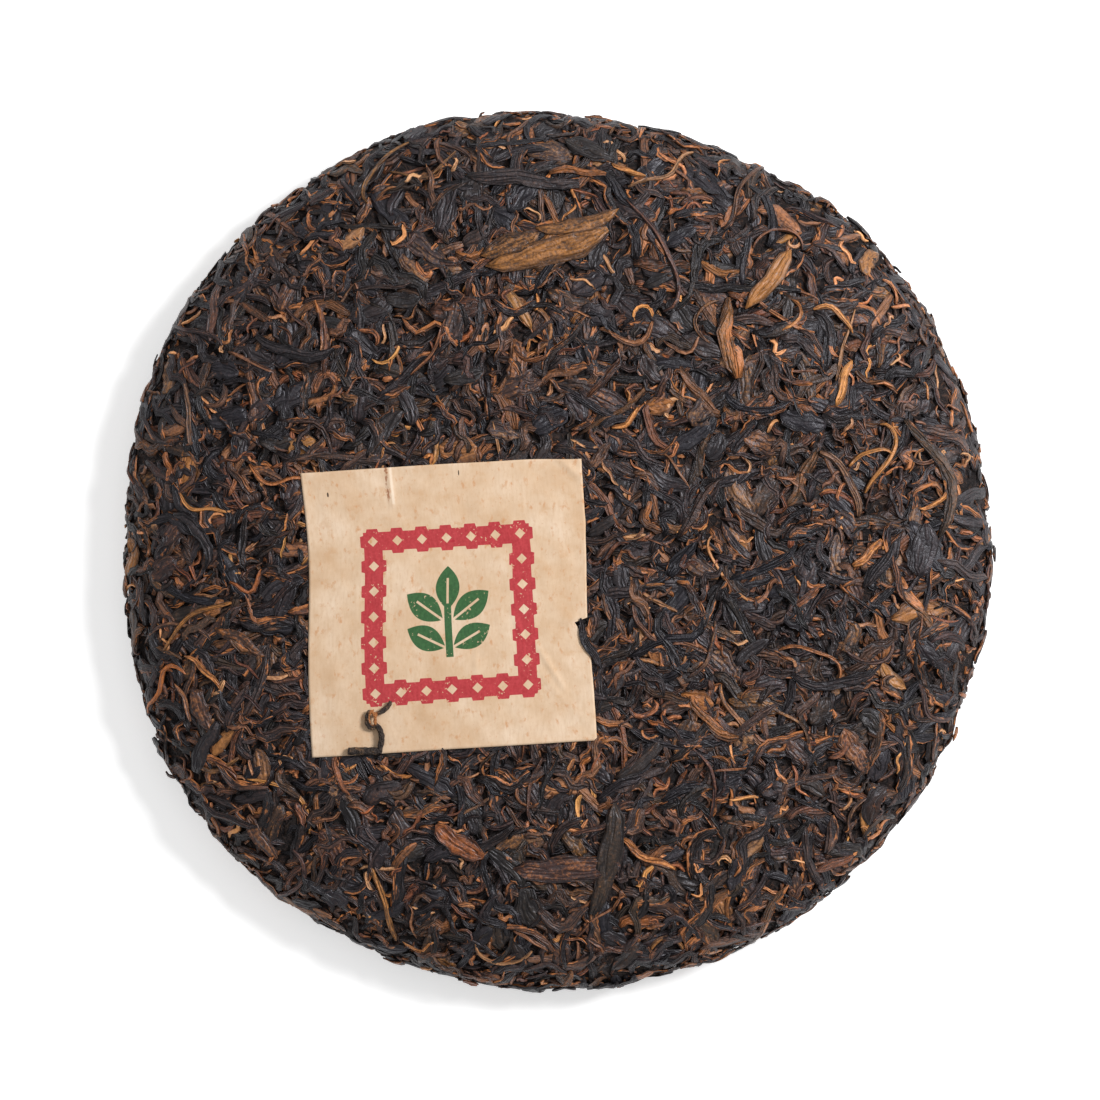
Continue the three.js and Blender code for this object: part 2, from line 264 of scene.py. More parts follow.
# Leaves and scraps, kind by kind: counts on the top side and on the underside, ranges of sizes, spreads
# of bend, wave and hook, steps and sides, how blunt, ridged and twisted, and how late it is laid down
Kind = namedtuple("Kind", "top under length width thick bend wave hook steps sides tip ridge twist late")
KINDS = {
    "dark_leaves": Kind(
        1400, 300, (8, 23), (1.3, 3.2), (0.5, 1), 0.5, 0.42, 0.5, 7, 6, (0.15, 0.6), 0.3, 1.2, 0.1),
    "twisted_leaves": Kind(
        1200, 250, (5, 14), (0.9, 2.1), (0.5, 0.95), 0.9, 0.7, 1, 8, 5, (0.25, 0.75), 0.32, 2.4, 0.1),
    "brown_leaves": Kind(
        1350, 300, (6, 18), (1.1, 2.8), (0.45, 0.9), 0.6, 0.5, 0.7, 7, 6, (0.2, 0.65), 0.3, 1.5, 0.1),
    "golden_buds": Kind(
        1560, 200, (3, 12), (0.55, 1.5), (0.4, 0.75), 0.8, 0.5, 1.2, 8, 5, (0.1, 0.55), 0.2, 0.8, 0.15),
    "broad_leaves": Kind(
        800, 160, (6, 17), (2.6, 6), (0.4, 0.65), 0.35, 0.15, 0.2, 8, 8, (0.03, 0.3), 0.16, 0.15, 0.05),
    "long_stems": Kind(
        150, 30, (12, 26), (0.8, 1.6), (0.7, 1.1), 0.8, 0.3, 0.8, 14, 5, (0.3, 0.7), 0.15, 1, 0.25),
    "leaf_shreds": Kind(
        3700, 550, (2.5, 8), (0.9, 2.2), (0.4, 0.8), 0.5, 0.3, 0.5, 3, 5, (0.2, 0.7), 0.3, 0.8, -0.45),
    "leaf_crumbs": Kind(
        3000, 450, (1.2, 3.6), (0.8, 1.9), (0.4, 0.8), 0.4, 0.1, 0, 2, 5, (0.3, 0.8), 0.3, 0.4, -0.3),
}

# Leaves that stand out: place, heading, length, width, bend, hook, and per cents of tone, gilt and tint
BOLD_LEAVES = {
    "broad_leaves": (
        (-10.5, 67.3, 22, 14, 4.8, 0.1, 0, 84, 30, 90),
        (-2.1, 66.7, 19, 29, 5.2, 0.15, 0, 92, 60, 90),
        (4.8, 73.1, 15, 20, 3.2, 0.35, 0, 89, 60, 90),
        (47, 60, 52, 17, 4.7, 0.1, 0, 99, 90, 90),
        (82, 0, 80, 12, 6.2, 0.2, 0, 20, 0, 50),
        (2, -71, 2, 24, 5.4, 0.15, 0, 77, 10, 57),
        (11, -69, 78, 26, 4.6, 0.2, 0, 58, 30, 84),
        (-22, -65, -35, 13, 5, 0.3, 0, 90, 90, 100),
        (-79.7, -35.7, -65, 10, 3.8, 0.1, 0, 80, 0, 60),
    ),
    "dark_leaves": (
        (-7.5, 82.4, -3, 25, 3.6, 0, 0, 60, 0, 30),
        (13.8, 81.3, -52, 10, 2.4, 0, 0, 20, 0, 30),
        (72.6, -2.8, 50, 14, 3.4, 0.1, 0, 40, 10, 30),
        (85.4, 16.8, -62, 31, 2.6, -0.45, -0.9, 80, 60, 84),
        (62, -29, 5, 22, 2.4, 0.7, 0, 50, 30, 30),
        (6.9, -20.9, -66, 12.5, 1.7, 0.3, 0, 45, 10, 30),
        (-58, 44, -12, 19, 2.6, 0.6, 0, 40, 20, 30),
        (-82, 3, -56, 17, 2.6, -0.9, 0, 40, 40, 30),
        (-78.5, -44, -120, 13, 3, 0.2, 0, 40, 0, 30),
    ),
    "brown_leaves": (
        (4.5, 85, 0, 13, 1.9, -0.2, 0, 90, 80, 95),
        (38, 47, -84, 19, 3.4, 0.3, 0, 90, 90, 86),
        (34, -38, -45, 15, 2.2, 0.6, 0, 90, 80, 90),
        (-70.5, -51, -28, 14.5, 1.8, 0.55, 0.3, 60, 70, 62),
        (-73.5, -59.8, -20, 14.5, 2.2, 0.35, 0, 30, 30, 30),
    ),
    "long_stems": (
        (23.3, 66.5, -58, 31, 1.1, -0.14, -1.75, 20, 0, 62),
        (73, 21, 58, 20, 1.2, 0.1, 2.4, 90, 90, 90),
        (69.5, 21.3, 24, 11, 1.1, -0.4, -0.8, 85, 90, 90),
        (64.2, 15.6, -58, 18, 2, -0.6, 0, 60, 80, 30),
        (-82.5, -16, 214, 20, 1.2, 0.55, 0, 80, 90, 90),
    ),
    "golden_buds": (
        (16, 86, -22, 8.5, 1.4, 0.1, 0, 80, 90, 90),
        (17, 48, 6, 14, 1.5, 1.3, 0, 60, 90, 30),
        (61.5, 52, -30, 12, 1.4, -0.9, 0, 85, 90, 90),
        (63.3, 37, -106, 11, 2, 0.1, 0, 90, 90, 90),
        (69.3, -0.8, 43, 9, 2.2, 0.2, 0, 70, 90, 90),
        (85.4, 11.6, 40, 11, 1.3, 0.95, 0.3, 80, 90, 90),
        (76, -6, -78, 11, 1.4, 0.2, 0, 25, 20, 30),
        (20, -68, -30, 14, 2.2, 0.3, 0, 70, 90, 90),
        (15.5, 29, 38, 8, 1.3, 0.7, 0, 80, 90, 90),
        (-79.3, -27, -38, 12, 1.5, -0.3, 0, 75, 90, 90),
        (-83.8, -34, -65, 9.5, 1.4, -0.3, 0, 60, 90, 30),
        (-57, -58.5, -70, 5.5, 1.6, 0, 0, 50, 50, 50),
    ),
}
BOLD_RISE = 0.38  # how much higher than the pile's own they lie
BOLD_ROOM = 0.75  # how much higher than the bed under the ticket they may lie
BOLD_TIP = 0.75
BOLD_TINT_STEP = 0.003


class Leaves:
    """All leaves of one kind: where they lie on the chart, their sizes, and how they rest on the pile."""

    def __init__(self, name, random, flow):
        self.name = name
        self.kind = kind = KINDS[name]
        count = kind.top + kind.under
        order = np.arange(count)

        def normal(spread):
            return random.normal(0, spread, count)

        def share():
            return random.uniform(0, 1, count)

        self.under = order >= kind.top
        azimuth = random.uniform(0, 2 * math.pi) + GOLDEN_ANGLE * order
        of_top = (order + 0.5) / kind.top
        of_under = (order + 0.5 - kind.top) / kind.under
        under_arc = UNDER_REACH * np.sqrt(of_under.clip(0))
        arc = np.where(self.under, under_arc, TOP_REACH * np.sqrt(of_top.clip(0, 1)))
        self.x = arc * np.cos(azimuth) + normal(SCATTER)
        self.y = arc * np.sin(azimuth) + normal(SCATTER)
        crushed = np.where(self.under, 0, smoothstep(arc, RIM_START, RIM_END))
        spread = normal(GRAIN_SPREAD)
        grain = flow.reshape(-1)[map_cell(self.x, self.y)] * GRAIN_TURN
        along_rim = azimuth + math.pi / 2 + normal(RIM_SPREAD)
        free = grain + spread + random.integers(0, 2, count) * math.pi
        self.heading = np.where(share() < crushed * RIM_ALONG, along_rim, free)
        self.length = self.between("length", random.beta(*LENGTH_SPREAD, count)) * (1 - RIM_SHORTER * crushed)
        self.width = self.between("width", random.beta(*WIDTH_SPREAD, count)) * (1 - RIM_NARROWER * crushed)
        self.thick = self.between("thick", share())
        self.tip = self.between("tip", random.uniform(0, 1, (2, count)))
        self.slender = random.uniform(*TIP_SHAPES, count)
        self.bend = normal(kind.bend)
        self.wave = normal(kind.wave)
        self.hook = normal(kind.hook)
        self.phase = random.uniform(0, 2 * math.pi, count)
        self.twist = normal(kind.twist)
        self.loose = crushed * random.exponential(RIM_LOOSE, count)
        self.tone = share() ** TONE_POWER
        self.gilt = share()
        self.seed = share()
        self.take_bold()
        self.lay_paths()
        self.rest = np.zeros((count, kind.steps + 1))

    def between(self, name, share):
        low, high = getattr(self.kind, name)
        return low + (high - low) * share

    def take_bold(self):
        """Gives the first leaves of this kind the places and sizes of those that stand out."""
        bold = np.array(BOLD_LEAVES.get(self.name, ()), float).reshape(-1, 10)
        n = len(bold)
        self.bold = n
        x, y, heading, self.length[:n], self.width[:n], self.bend[:n], self.hook[:n] = bold[:, :7].T
        self.tone[:n], self.gilt[:n], tint = bold[:, 7:].T / 100
        self.x[:n] = x + MIDDLE_X
        self.y[:n] = y + MIDDLE_Y
        self.heading[:n] = np.radians(heading)
        self.wave[:n] = self.kind.wave / 2
        self.seed[:n] = tint + BOLD_TINT_STEP * np.arange(n)
        self.slender[:n] = BOLD_TIP

    def lay_paths(self):
        """Walks each leaf's line over the chart, and finds the map cells that it covers."""
        samples = self.kind.steps * FINE + 1
        t = np.linspace(-1, 1, samples)
        sway = np.sin(math.pi * t * WAVE_TURNS + self.phase[:, None])
        turn = self.bend[:, None] * t + self.wave[:, None] * sway
        turn = turn + self.hook[:, None] * np.maximum(t, 0) ** 2
        self.angle = self.heading[:, None] + turn
        stride = (self.length / (samples - 1))[:, None]
        x = np.cumsum(np.cos(self.angle) * stride, axis=1)
        y = np.cumsum(np.sin(self.angle) * stride, axis=1)
        self.path_x = x - x.mean(axis=1, keepdims=True) + self.x[:, None]
        self.path_y = y - y.mean(axis=1, keepdims=True) + self.y[:, None]
        tip = np.where(t < 0, self.tip[0][:, None], self.tip[1][:, None])
        body = np.clip(1 - np.abs(t) ** TAPER_POWER, 0, 1)
        self.taper = tip + (1 - tip) * body ** self.slender[:, None]
        flat = self.kind.width[1] > BROAD_WIDTHS[1]
        across = np.linspace(-FOOTPRINT, FOOTPRINT, 9 if flat else 3)
        offset = across * (self.width[:, None] * self.taper)[:, :, None]
        cell_x = self.path_x[:, :, None] - np.sin(self.angle)[:, :, None] * offset
        cell_y = self.path_y[:, :, None] + np.cos(self.angle)[:, :, None] * offset
        self.cells = map_cell(cell_x, cell_y)

    def settle(self, i, pile):
        """Lays leaf i on the pile, stiff enough to bridge the gaps under it, and adds it to the pile."""
        cells = self.cells[i]
        heights = pile[int(self.under[i])]
        ground = heights[cells]
        support = STIFFNESS * ground.max(axis=1) + (1 - STIFFNESS) * ground.mean(axis=1)
        reach = len(support) // 4 + 1
        padded = np.concatenate((np.repeat(support[0], reach), support, np.repeat(support[-1], reach)))
        window = np.hanning(2 * reach + 3)[1:-1]
        rest = np.convolve(padded, window / window.sum(), "valid")
        self.rest[i] = rest[::FINE]
        heights[cells] = np.maximum(ground, rest[:, None] + self.thick[i] * SINK)

    def sections(self, random):
        """Corners of all cross sections: how far across the leaf they lie, and how far above its line."""
        steps, sides = self.kind.steps, self.kind.sides
        count = len(self.x)
        taper = self.taper[:, ::FINE, None]
        ridge = 1 + self.kind.ridge * random.uniform(-1, 1, (count, 1, sides))
        change = RIDGE_CHANGE * self.kind.ridge * random.uniform(-1, 1, (count, steps + 1, sides))
        ridge = ridge * (1 + change)
        broad = smoothstep(self.width, *BROAD_WIDTHS)[:, None, None]
        ragged = 1 + RAGGED * broad * random.uniform(-1, 1, (count, steps + 1, 1))
        t = np.linspace(-0.5, 0.5, steps + 1)[:, None]
        theta = side_angles(sides) + self.twist[:, None, None] * t
        across = np.cos(theta) * (self.width[:, None, None] * taper * ridge * ragged / 2)
        thinning = TIP_THICKNESS + (1 - TIP_THICKNESS) * taper
        half_thick = self.thick[:, None, None] * thinning * ridge / 2
        folds = np.sin(across * CRUMPLE_ACROSS + self.phase[:, None, None] + CRUMPLE_ALONG * t)
        round_off = np.sign(np.sin(theta)) * np.abs(np.sin(theta)) ** (1 - EDGE_SQUARE * broad)
        return across, round_off * half_thick, CRUMPLE * broad * folds

    def mesh_object(self, random, level):
        """Builds all leaves of the kind as one joined mesh, with the pile pressed down to its level."""
        across, rise, crumple = self.sections(random)
        lift = pressed(self.rest) + (self.loose - np.where(self.under, level[1], level[0]))[:, None]
        stands_out = (np.arange(len(self.x)) < self.bold)[:, None]
        lift = (lift + BOLD_RISE * stands_out)[:, :, None] + rise + crumple
        angle = self.angle[:, ::FINE, None]
        chart_x = self.path_x[:, ::FINE, None] - np.sin(angle) * across
        chart_y = self.path_y[:, ::FINE, None] + np.cos(angle) * across
        under = self.under[:, None, None]
        lift = pressed_by_ticket(chart_x, chart_y, lift, under, BOLD_ROOM * stands_out[:, :, None])
        points = skin_points(chart_x, chart_y, lift, under) * MM
        edge = np.broadcast_to(0.5 + 0.5 * np.cos(side_angles(self.kind.sides)), across.shape)
        return joined_mesh(self, points.reshape(-1, 3), edge.reshape(-1))


def side_angles(sides):
    """Where the corners of a leaf's cross section lie round it, the first one at the bottom."""
    return 2 * math.pi * np.arange(sides) / sides - math.pi / 2


def pressed(height):
    """The height of a place in the pile after the press has packed it."""
    return PRESS_DEPTH * (1 - np.exp(-height / PRESS_DEPTH))


def tube_pattern(steps, sides):
    """One closed tube's corners: their places along and round it, and the sizes of its faces."""
    ring, side = np.meshgrid(np.arange(steps), np.arange(sides), indexing="ij")
    along = np.stack((ring, ring, ring + 1, ring + 1), axis=-1).reshape(-1)
    wrap = np.stack((side, side + 1, side + 1, side), axis=-1).reshape(-1)
    cap = np.arange(sides)
    along = np.concatenate((along, 0 * cap, 0 * cap + steps))
    wrap = np.concatenate((wrap, cap[::-1], cap))
    return along, wrap, np.array([4] * (steps * sides) + [sides, sides])


def joined_mesh(leaves, points, edge):
    """All leaves as one mesh of closed tubes, with a UV in centimetres and each leaf's own tones.
    Their edges along the leaf are sharp, as the ridges of a dry leaf are."""
    steps, sides = leaves.kind.steps, leaves.kind.sides
    count = len(leaves.x)
    along, wrap, sizes = tube_pattern(steps, sides)
    vertices = (steps + 1) * sides
    corners = np.arange(count)[:, None] * vertices + (along * sides + wrap % sides)
    starts = np.concatenate(([0], np.cumsum(np.tile(sizes, count))[:-1]))
    mesh = bpy.data.meshes.new(leaves.name)
    mesh.vertices.add(len(points))
    mesh.vertices.foreach_set("co", points.reshape(-1).astype(np.float32))
    mesh.loops.add(corners.size)
    mesh.loops.foreach_set("vertex_index", corners.reshape(-1).astype(np.int32))
    mesh.polygons.add(len(starts))
    mesh.polygons.foreach_set("loop_start", starts.astype(np.int32))
    mesh.update(calc_edges=True)
    ends = np.empty(2 * len(mesh.edges), np.int32)
    mesh.edges.foreach_get("vertices", ends)
    ends = ends.reshape(-1, 2) // sides
    mesh.edges.foreach_set("use_edge_sharp", ends[:, 0] != ends[:, 1])
    u = leaves.length[:, None] * along / steps / CM
    v = leaves.width[:, None] * wrap / sides * GIRTH / CM
    layer = mesh.uv_layers.new(name="leaf_uv")
    layer.data.foreach_set("uv", np.stack((u, v), axis=-1).reshape(-1).astype(np.float32))
    tones = np.stack((leaves.tone, leaves.gilt, leaves.seed), axis=-1).repeat(vertices, axis=0)
    colour = mesh.attributes.new("leaf_tones", "FLOAT_COLOR", "POINT")
    colour.data.foreach_set("color", np.column_stack((tones, edge)).reshape(-1).astype(np.float32))
    mesh.shade_smooth()
    return new_object(leaves.name, mesh)


def new_object(name, mesh):
    made = bpy.data.objects.new(name, mesh)
    bpy.context.scene.collection.objects.link(made)
    return made


def packed_core():
    """The dark mass that shows between the leaves: the half section spun round, with low lumps."""
    bm = bmesh.new()
    arcs = np.linspace(0, ARC_TOTAL, CORE_RINGS)
    r = np.interp(arcs, SECTION_ARC, SECTION_R)
    z = np.interp(arcs, SECTION_ARC, SECTION_Z)
    vertices = [bm.verts.new((a, 0, b)) for a, b in zip(r, z)]
    for a, b in zip(vertices, vertices[1:]):
        bm.edges.new((a, b))
    bmesh.ops.spin(bm, geom=bm.verts[:] + bm.edges[:], cent=(0, 0, 0), axis=(0, 0, 1), angle=2 * math.pi,
                   steps=CORE_TURNS, use_merge=True)
    bmesh.ops.remove_doubles(bm, verts=bm.verts[:], dist=1e-4)
    for vertex in bm.verts:
        place_core_vertex(vertex)
    bmesh.ops.recalc_face_normals(bm, faces=bm.faces[:])
    return bm_object("packed_core", bm)


def place_core_vertex(vertex):
    """Moves a vertex of the smooth section in below the leaves, and gives it its lump."""
    r = math.hypot(vertex.co.x, vertex.co.y)
    azimuth = math.atan2(vertex.co.y, vertex.co.x)
    upper = vertex.co.z > WAIST_HEIGHT or r > FOOT_RADIUS - 1e-3
    part = slice(0, FIRST_FOOT + 1) if upper else slice(FIRST_FOOT, None)
    gap = np.hypot(SECTION_R[part] - r, SECTION_Z[part] - vertex.co.z)
    arc = SECTION_ARC[part][gap.argmin()]
    lump = CORE_RELIEF * noise.noise(vertex.co / CORE_LUMP_SPACING)
    foot = ARC_TOTAL - UNDER_REACH
    rim = smoothstep(arc, RIM_START, RIM_END) * smoothstep(arc, foot + CORE_FADE, foot)
    lift = lump - CORE_INSET - (CORE_INSET_RIM - CORE_INSET) * rim
    x, y = arc * math.cos(azimuth), arc * math.sin(azimuth)
    vertex.co = Vector(skin_points(x, y, lift).tolist())


def bm_object(name, bm):
    """Makes an object in metres of a mesh worked out in millimetres."""
    bmesh.ops.scale(bm, vec=(MM, MM, MM), verts=bm.verts[:])
    mesh = bpy.data.meshes.new(name)
    bm.to_mesh(mesh)
    bm.free()
    mesh.shade_smooth()
    return new_object(name, mesh)


def lay_leaves():
    """Lays all kinds of leaves down in one random order, those that stand out last."""
    random = np.random.default_rng(SEED)
    flow = smooth_field(random, GRAIN_WAVE)
    relief = sum(height * smooth_field(random, wave) for height, wave in RELIEF_WAVES)
    pile = np.stack((relief.reshape(-1), relief[::-1].reshape(-1)))
    kinds = [Leaves(name, random, flow) for name in KINDS]
    late = np.concatenate([np.full(len(leaves.x), leaves.kind.late) for leaves in kinds])
    turns = np.argsort(random.uniform(0, 1, len(late)) + late)
    every = [(leaves, i) for leaves in kinds for i in range(len(leaves.x))]
    bold = [(leaves, i) for leaves, i in every if i < leaves.bold]
    for leaves, i in [every[n] for n in turns if every[n][1] >= every[n][0].bold] + bold:
        leaves.settle(i, pile)
    covered = [pile_reach() < reach for reach in (TOP_REACH, UNDER_REACH)]
    level = [np.percentile(pressed(side[cover]), LEVEL_SHARE) for side, cover in zip(pile, covered)]
    return [leaves.mesh_object(random, level) for leaves in kinds]


def pile_reach():
    """How far each cell of the map lies from the chart's middle."""
    steps = np.arange(MAP_SIZE) * CELL - MAP_REACH
    return np.hypot(steps[:, None], steps).reshape(-1)


def nick_depth(up):
    """How far the ticket's right edge is torn in, at a height on the ticket."""
    bow = EDGE_BOW * math.exp(-(((up - NICK_TOP) / EDGE_BOW_REACH) ** 2))
    if up > NICK_DEEPEST:
        return bow + NICK_DEPTH * max(0, (NICK_TOP - up) / (NICK_TOP - NICK_DEEPEST))
    return bow + NICK_DEPTH * max(0, (up - NICK_END) / (NICK_DEEPEST - NICK_END)) ** NICK_POWER


# Creases in the ticket: both ends, height of the fold and its half width
CREASES = (
    ((18.7, -8.8), (25.2, -20.2), 0.33, 0.5),
    ((14.4, -2), (16.2, -8), 0.24, 0.5),
    ((5.7, -10), (5.6, -15), 0.18, 0.45),
    ((26.5, 31.5), (31.5, 27), 0.3, 0.8),
    ((-11.4, 31.5), (-11.2, 23.3), 0.33, 0.55),
    ((25.5, -5), (30.5, -3), 0.225, 0.7),
    ((17, -13), (29, -27), 0.12, 0.9),
)
CREASE_FADE = 0.6  # share of its height that a crease loses towards its ends


def crease_height(along, up):
    """The height that the creases add at a place on the ticket."""
    height = 0
    for (ax, ay), (bx, by), rise, width in CREASES:
        length = math.hypot(bx - ax, by - ay)
        share = ((along - ax) * (bx - ax) + (up - ay) * (by - ay)) / length**2
        near = min(max(share, 0), 1)
        off = math.hypot(along - ax - near * (bx - ax), up - ay - near * (by - ay))
        fade = 1 - CREASE_FADE * abs(2 * near - 1)
        height += rise * math.exp(-((off / width) ** 2)) * fade
    return height


def sheet_lift(along, up):
    """How high the sheet lies: the leaves show through it, it is creased, and its edges curl a little."""
    lift = TICKET_LIFT + crease_height(along, up)
    for height, spacing, layer in TICKET_BUMPS:
        lift += height * noise.noise(Vector((along / spacing, up / spacing, layer)))
    rim = max(abs(along), abs(up)) - TICKET_SIDE / 2 + CURL_REACH
    curl = 0.5 + noise.noise(Vector((along / CURL_SPACING, up / CURL_SPACING, 3)))
    return lift + CURL_HEIGHT * max(0, rim / CURL_REACH) ** 2 * curl


def paper_ticket():
    """The square sheet, torn at its right edge and pressed onto the leaves."""
    bm = bmesh.new()
    bm.loops.layers.uv.new("ticket_uv")
    bmesh.ops.create_grid(bm, x_segments=TICKET_CELLS, y_segments=TICKET_CELLS,
                          size=TICKET_SIDE / 2, calc_uvs=True)
    turn = Vector((math.cos(TICKET_TURN), math.sin(TICKET_TURN)))
    for vertex in bm.verts:
        along, up = vertex.co.x, vertex.co.y
        near_edge = max(0, (along - TICKET_SIDE / 2 + NICK_REACH) / NICK_REACH) ** 2
        ripple = EDGE_RIPPLE * noise.noise(Vector((up / EDGE_RIPPLE_SPACING, 4, 0)))
        along += (ripple - nick_depth(up)) * near_edge
        lift = sheet_lift(along, up)
        x = TICKET_MIDDLE[0] + along * turn.x - up * turn.y
        y = TICKET_MIDDLE[1] + along * turn.y + up * turn.x
        vertex.co = Vector(skin_points(x + MIDDLE_X, y + MIDDLE_Y, lift).tolist())
    ticket = bm_object("ticket_paper", bm)
    wall = ticket.modifiers.new("paper_thickness", "SOLIDIFY")
    wall.thickness = TICKET_THICKNESS * MM
    wall.offset = -1
    return ticket


# The stem's bar, riser, loop, sheath and tip: places of the middle line, lift above the skin, half width
STEM_LINES = (
    ((-46.1, -44.2, 0.75, 0.78), (-45.3, -44.3, 0.8, 0.88), (-43, -44.2, 0.8, 0.84),
     (-40.6, -44.3, 0.8, 0.88), (-39.3, -44.3, 0.75, 0.78)),
    ((-39.3, -44.8, 0.85, 0.52), (-39, -43.4, 0.95, 0.6), (-38.7, -41.4, 1, 0.66),
     (-38.9, -39.9, 1.05, 0.66), (-39.4, -38.8, 1.05, 0.6), (-40, -38.3, 1, 0.42)),
    ((-39.9, -38.6, 1.1, 0.32), (-40.2, -38.1, 1.2, 0.34), (-40.1, -37, 1.3, 0.36),
     (-40.35, -35.9, 1.3, 0.34), (-40.95, -35.55, 1.25, 0.33), (-41.5, -36.1, 1.15, 0.33),
     (-41.65, -37.1, 1.1, 0.34), (-41.4, -38.2, 1.05, 0.34), (-40.8, -38.8, 1, 0.34),
     (-40.2, -38.7, 1, 0.3)),
    ((-40.4, -35.3, 0.9, 0.3), (-41.3, -35.25, 0.9, 0.36), (-42, -36.1, 0.85, 0.4),
     (-42.15, -37.3, 0.8, 0.42), (-41.9, -38.6, 0.8, 0.4), (-41.1, -39.4, 0.8, 0.36),
     (-40.4, -39.3, 0.8, 0.3)),
    ((-40.4, -36.4, 0.9, 0.4), (-39.4, -35.8, 1, 0.54), (-38.3, -35.3, 1, 0.57),
     (-37.4, -34.6, 0.95, 0.5), (-36.9, -33.8, 0.9, 0.42), (-36.7, -33.2, 0.85, 0.34)),
)
LOOP_MIDDLE = (-40.9, -37.1)
BARK_RELIEF = 0.22
BARK_LUMPS = 1.3  # to a millimetre


def curled_stem():
    """The twisted stem: lengths of curve with a changing thickness, made one mesh and roughened."""
    bm = bmesh.new()
    for n, line in enumerate(STEM_LINES):
        curve = bpy.data.curves.new(f"stem_line_{n}", "CURVE")
        curve.dimensions = "3D"
        curve.bevel_depth = 1
        curve.bevel_resolution = 3
        curve.resolution_u = 5
        curve.use_fill_caps = True
        spline = curve.splines.new("NURBS")
        spline.points.add(len(line) - 1)
        spline.order_u = 3
        spline.use_endpoint_u = True
        for point, (x, y, lift, radius) in zip(spline.points, line):
            point.co = (*skin_points(x + MIDDLE_X, y + MIDDLE_Y, lift).tolist(), 1)
            point.radius = radius
        holder = bpy.data.objects.new(f"stem_line_{n}", curve)
        bm.from_mesh(bpy.data.meshes.new_from_object(holder))
        bpy.data.objects.remove(holder)
    bmesh.ops.remove_doubles(bm, verts=bm.verts[:], dist=1e-4)
    bmesh.ops.recalc_face_normals(bm, faces=bm.faces[:])
    bm.normal_update()
    moves = [vertex.normal * BARK_RELIEF * noise.noise(vertex.co * BARK_LUMPS) for vertex in bm.verts]
    for vertex, move in zip(bm.verts, moves):
        vertex.co += move
    return bm_object("curled_stem_twist", bm)


def linear(*srgb):
    """A colour given as 0 to 255 sRGB numbers, as the shader wants it."""
    shares = (value / 255 for value in srgb)
    return tuple(c / 12.92 if c <= 0.04045 else ((c + 0.055) / 1.055) ** 2.4 for c in shares) + (1,)


def shades(*stops):
    """Stops of a colour ramp: places, and colours given as sRGB numbers."""
    return tuple((place, linear(*colour)) for place, colour in stops)


WHITE = (1, 1, 1, 1)
GILT = linear(188, 118, 68)
# Painted shade: the near-black that a leaf is darkened to in its grooves and towards its two sides
GROOVE_SHADE = linear(22, 18, 19)
SHEEN = (0.92, 0.92, 1.0, 1.0)
# The core's colours: crushed leaf, darker than the leaves as painted shade in the gaps between them
CORE_SHADES = shades((0.38, (23, 19, 20)), (0.5, (40, 33, 33)), (0.6, (62, 47, 42)), (0.72, (110, 76, 56)))
BARK_SHADES = shades((0.35, (47, 40, 39)), (0.55, (72, 61, 54)), (0.72, (124, 92, 66)))
LOOP_COLOUR = linear(196, 124, 70)

# Tints that a leaf's colour is multiplied by, along the leaf's own random number
TINTS = (
    (0, (0.8, 0.85, 1, 1)),
    (0.28, (0.85, 0.89, 1, 1)),
    (0.38, (1, 0.95, 0.92, 1)),
    (0.56, (1, 0.82, 0.83, 1)),
    (0.7, (1, 0.89, 0.76, 1)),
    (0.86, (0.96, 0.93, 0.68, 1)),
    (0.95, (1, 0.84, 0.58, 1)),
    (1, (1, 0.66, 0.48, 1)),
)

# How a leaf's tone changes over its skin, less on a light leaf
BLOTCH_SHARE = 1.9
STREAK_SHARE = 0.7
# how far the wrinkles' height moves a leaf's tone: painted shade in grooves, ridges lighter as wear and
# painted light
GROOVE_SHARE = 0.18
DARK_CHANGE = 1.1
LIGHT_CHANGE = 0.25
SIDE_SHADE = 0.7  # how dark the painted shade grows towards a leaf's two sides

# Each kind's share of gilt, wrinkles to a centimetre, depth of grooves in bump and painted shade, and colours
# from dark to light
LEAF_FINISHES = {
    "dark_leaves": (0.39, 12, 0.9, (
        (0, (29, 27, 30)), (0.45, (50, 43, 43)), (0.8, (77, 60, 52)), (1, (126, 84, 58)))),
    "twisted_leaves": (0.39, 13, 0.95, (
        (0, (29, 26, 28)), (0.5, (52, 43, 42)), (0.85, (82, 59, 49)), (1, (138, 89, 59)))),
    "brown_leaves": (0.44, 13, 0.9, (
        (0, (47, 37, 36)), (0.4, (73, 54, 48)), (0.75, (103, 73, 55)), (1, (166, 109, 68)))),
    "golden_buds": (0.32, 13, 0.8, (
        (0, (98, 63, 46)), (0.35, (134, 87, 58)), (0.7, (176, 116, 74)), (1, (244, 178, 118)))),
    "long_stems": (0.2, 12, 0.8, (
        (0, (80, 57, 50)), (0.35, (102, 72, 57)), (0.7, (146, 103, 68)), (1, (208, 145, 90)))),
    "broad_leaves": (0.24, 8, 0.6, (
        (0, (34, 31, 34)), (0.5, (51, 43, 43)), (0.76, (78, 58, 50)), (0.86, (126, 88, 58)),
        (1, (172, 120, 74)))),
    "leaf_shreds": (0.41, 13, 0.95, (
        (0, (30, 26, 28)), (0.5, (56, 45, 42)), (0.8, (88, 62, 50)), (1, (158, 102, 66)))),
    "leaf_crumbs": (0.36, 13, 0.95, (
        (0, (32, 28, 30)), (0.5, (62, 47, 42)), (0.85, (101, 70, 53)), (1, (178, 115, 72)))),
}

# Noises on the paper: stretch along and up the sheet, layer, scale, detail and roughness
PAPER_NOISES = {
    "cloud": (1, 1, 0, 0.09, 4, 0.6),
    "spots": (1, 1, 0, 0.32, 3, 0.62),
    "fleck": (1, 1, 0, 1.7, 2, 0.6),
    "rust": (0.9, 0.5, 5, 0.8, 3, 0.6),
    "fibre": (1.6, 0.4, 3, 1, 3, 0.6),
}
PAPER_SHADES = shades((0.3, (210, 174, 138)), (0.5, (223, 193, 162)), (0.7, (235, 210, 184)))

